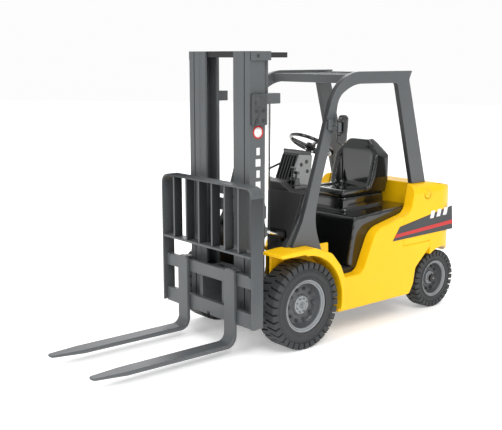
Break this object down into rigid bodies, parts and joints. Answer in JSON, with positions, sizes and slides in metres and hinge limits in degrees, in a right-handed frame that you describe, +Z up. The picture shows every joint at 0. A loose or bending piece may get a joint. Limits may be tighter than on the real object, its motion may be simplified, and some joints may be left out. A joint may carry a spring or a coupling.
{
  "type": "toy forklift",
  "caption": "Toy counterbalance forklift with tilting two-stage mast, sliding forks, load backrest, overhead guard, rear steering and rolling block-tread wheels.",
  "frame": {"origin": "bottom centre of the bounding box, on the ground under the middle of the truck", "axes": "+Z up, the forks point along -Y, +X is the truck's left side"},
  "size_m": [0.124, 0.3746, 0.2314],
  "materials": {
    "grey_paint": "satin",
    "yellow_plastic": "satin",
    "black_gloss": "gloss",
    "black_matte": "matte",
    "rubber": "matte",
    "steel": "brushed",
    "chrome": "polished",
    "board_green": "matte",
    "motor_metal": "satin"
  },
  "bodies": {
    "chassis": {"chassis_frame": "black_matte", "side_panel_left": "yellow_plastic", "side_panel_right": "yellow_plastic", "floor_pan": "black_matte", "counterweight": "yellow_plastic", "engine_cover": "black_gloss", "seat": "black_gloss", "dashboard": "black_gloss", "steering_column": "black_matte", "grab_handle": "black_matte", "guard_side_left": "grey_paint", "guard_side_right": "grey_paint", "roof_bars": "grey_paint", "front_axle": "steel", "rear_axle_beam": "black_matte", "pivot_pins": "steel", "battery_pack": "black_matte", "battery_door": "black_matte", "circuit_board": "board_green", "drive_motor": "motor_metal", "steering_servo": "black_matte", "chassis_screws": "steel"},
    "mast": {"outer_channels": "grey_paint", "outer_crossmembers": "grey_paint", "side_plate": "grey_paint", "mast_bolts": "grey_paint", "mast_brackets": "grey_paint", "hydraulic_lines": "black_matte", "lift_cylinders": "black_matte", "tilt_pins": "steel"},
    "inner_mast": {"inner_channels": "grey_paint", "inner_crosshead": "black_matte", "lift_rods": "steel", "inner_mast_guides": "black_matte"},
    "carriage": {"carriage_plate": "grey_paint", "load_backrest": "grey_paint", "carriage_guides": "black_matte"},
    "fork_left": {"fork_left": "grey_paint"},
    "fork_right": {"fork_right": "grey_paint"},
    "tilt_barrel_left": {"tilt_cylinder_left": "black_matte"},
    "tilt_barrel_right": {"tilt_cylinder_right": "black_matte"},
    "tilt_rod_left": {"tilt_rod_left": "chrome"},
    "tilt_rod_right": {"tilt_rod_right": "chrome"},
    "front_wheel_left": {"front_tyre_left": "rubber", "front_rim_left": "grey_paint"},
    "front_wheel_right": {"front_tyre_right": "rubber", "front_rim_right": "grey_paint"},
    "knuckle_left": {"knuckle_left": "black_matte"},
    "knuckle_right": {"knuckle_right": "black_matte"},
    "rear_wheel_left": {"rear_tyre_left": "rubber", "rear_rim_left": "grey_paint"},
    "rear_wheel_right": {"rear_tyre_right": "rubber", "rear_rim_right": "grey_paint"},
    "tie_bar": {"tie_bar": "steel"},
    "steering_wheel": {"steering_wheel": "black_gloss"},
    "lift_lever": {"lift_lever": "black_gloss"},
    "tilt_lever": {"tilt_lever": "black_gloss"},
    "mirror_left": {"mirror_left": "black_gloss"},
    "mirror_right": {"mirror_right": "black_gloss"},
    "power_switch": {"power_switch": "black_matte"}
  },
  "joints": [
    {"name": "mast_tilt", "type": "hinge", "parent": "chassis", "child": "mast", "pos_m": [0, -0.02575, 0.035], "axis": [-1, 0, 0], "range_deg": [-2.5, 6]},
    {"name": "mast_lift", "type": "slide", "parent": "mast", "child": "inner_mast", "axis": [0, 0, 1], "range_m": [0, 0.12]},
    {"name": "carriage_lift", "type": "slide", "parent": "inner_mast", "child": "carriage", "axis": [0, 0, 1], "range_m": [0, 0.12]},
    {"name": "fork_left_slide", "type": "slide", "parent": "carriage", "child": "fork_left", "axis": [1, 0, 0], "range_m": [-0.007, 0.019]},
    {"name": "fork_right_slide", "type": "slide", "parent": "carriage", "child": "fork_right", "axis": [-1, 0, 0], "range_m": [-0.007, 0.019]},
    {"name": "tilt_barrel_left_swing", "type": "hinge", "parent": "chassis", "child": "tilt_barrel_left", "pos_m": [0.0363, 0.01325, 0.0784], "axis": [-1, 0, 0], "range_deg": [-2, 4]},
    {"name": "tilt_rod_left_slide", "type": "slide", "parent": "tilt_barrel_left", "child": "tilt_rod_left", "axis": [0, -0.9499, 0.3125], "range_m": [-0.007, 0.004]},
    {"name": "tilt_barrel_right_swing", "type": "hinge", "parent": "chassis", "child": "tilt_barrel_right", "pos_m": [-0.0363, 0.01325, 0.0784], "axis": [-1, 0, 0], "range_deg": [-2, 4]},
    {"name": "tilt_rod_right_slide", "type": "slide", "parent": "tilt_barrel_right", "child": "tilt_rod_right", "axis": [0, -0.9499, 0.3125], "range_m": [-0.007, 0.004]},
    {"name": "front_wheel_left_spin", "type": "hinge", "parent": "chassis", "child": "front_wheel_left", "pos_m": [0.052, -0.01275, 0.035], "axis": [1, 0, 0], "continuous": true},
    {"name": "front_wheel_right_spin", "type": "hinge", "parent": "chassis", "child": "front_wheel_right", "pos_m": [-0.052, -0.01275, 0.035], "axis": [1, 0, 0], "continuous": true},
    {"name": "steer_left", "type": "hinge", "parent": "chassis", "child": "knuckle_left", "pos_m": [0.03, 0.16045, 0.0266], "axis": [0, 0, 1], "range_deg": [-20, 20]},
    {"name": "steer_right", "type": "hinge", "parent": "chassis", "child": "knuckle_right", "pos_m": [-0.03, 0.16045, 0.0266], "axis": [0, 0, 1], "range_deg": [-20, 20]},
    {"name": "tie_bar_slide", "type": "slide", "parent": "chassis", "child": "tie_bar", "axis": [1, 0, 0], "range_m": [-0.0036, 0.0036]},
    {"name": "rear_wheel_left_spin", "type": "hinge", "parent": "knuckle_left", "child": "rear_wheel_left", "pos_m": [0.042, 0.16045, 0.0266], "axis": [1, 0, 0], "continuous": true},
    {"name": "rear_wheel_right_spin", "type": "hinge", "parent": "knuckle_right", "child": "rear_wheel_right", "pos_m": [-0.042, 0.16045, 0.0266], "axis": [1, 0, 0], "continuous": true},
    {"name": "steering_wheel_turn", "type": "hinge", "parent": "chassis", "child": "steering_wheel", "pos_m": [0, 0.04975, 0.1532], "axis": [0, 0.5101, 0.8601], "continuous": true},
    {"name": "lift_lever_rock", "type": "hinge", "parent": "chassis", "child": "lift_lever", "pos_m": [0.0188, 0.01025, 0.1275], "axis": [1, 0, 0], "range_deg": [-12, 12]},
    {"name": "tilt_lever_rock", "type": "hinge", "parent": "chassis", "child": "tilt_lever", "pos_m": [0.023, 0.01025, 0.1275], "axis": [1, 0, 0], "range_deg": [-12, 12]},
    {"name": "mirror_left_swivel", "type": "hinge", "parent": "chassis", "child": "mirror_left", "pos_m": [0.055, 0.02685, 0.171], "axis": [0, 0, 1], "range_deg": [-15, 8]},
    {"name": "mirror_right_swivel", "type": "hinge", "parent": "chassis", "child": "mirror_right", "pos_m": [-0.055, 0.02685, 0.171], "axis": [0, 0, 1], "range_deg": [-8, 15]},
    {"name": "power_switch_slide", "type": "slide", "parent": "chassis", "child": "power_switch", "axis": [0, 1, 0], "range_m": [0, 0.003]}
  ],
  "couplings": [
    {"joint": "carriage_lift", "follows": "mast_lift", "ratio": 1},
    {"joint": "tilt_barrel_left_swing", "follows": "mast_tilt", "ratio": 0.51868},
    {"joint": "tilt_rod_left_slide", "follows": "mast_tilt", "m_per_rad": -0.053834},
    {"joint": "tilt_barrel_right_swing", "follows": "mast_tilt", "ratio": 0.51868},
    {"joint": "tilt_rod_right_slide", "follows": "mast_tilt", "m_per_rad": -0.053834},
    {"joint": "steer_right", "follows": "steer_left", "ratio": 1},
    {"joint": "tie_bar_slide", "follows": "steer_left", "m_per_rad": 0.0099}
  ]
}
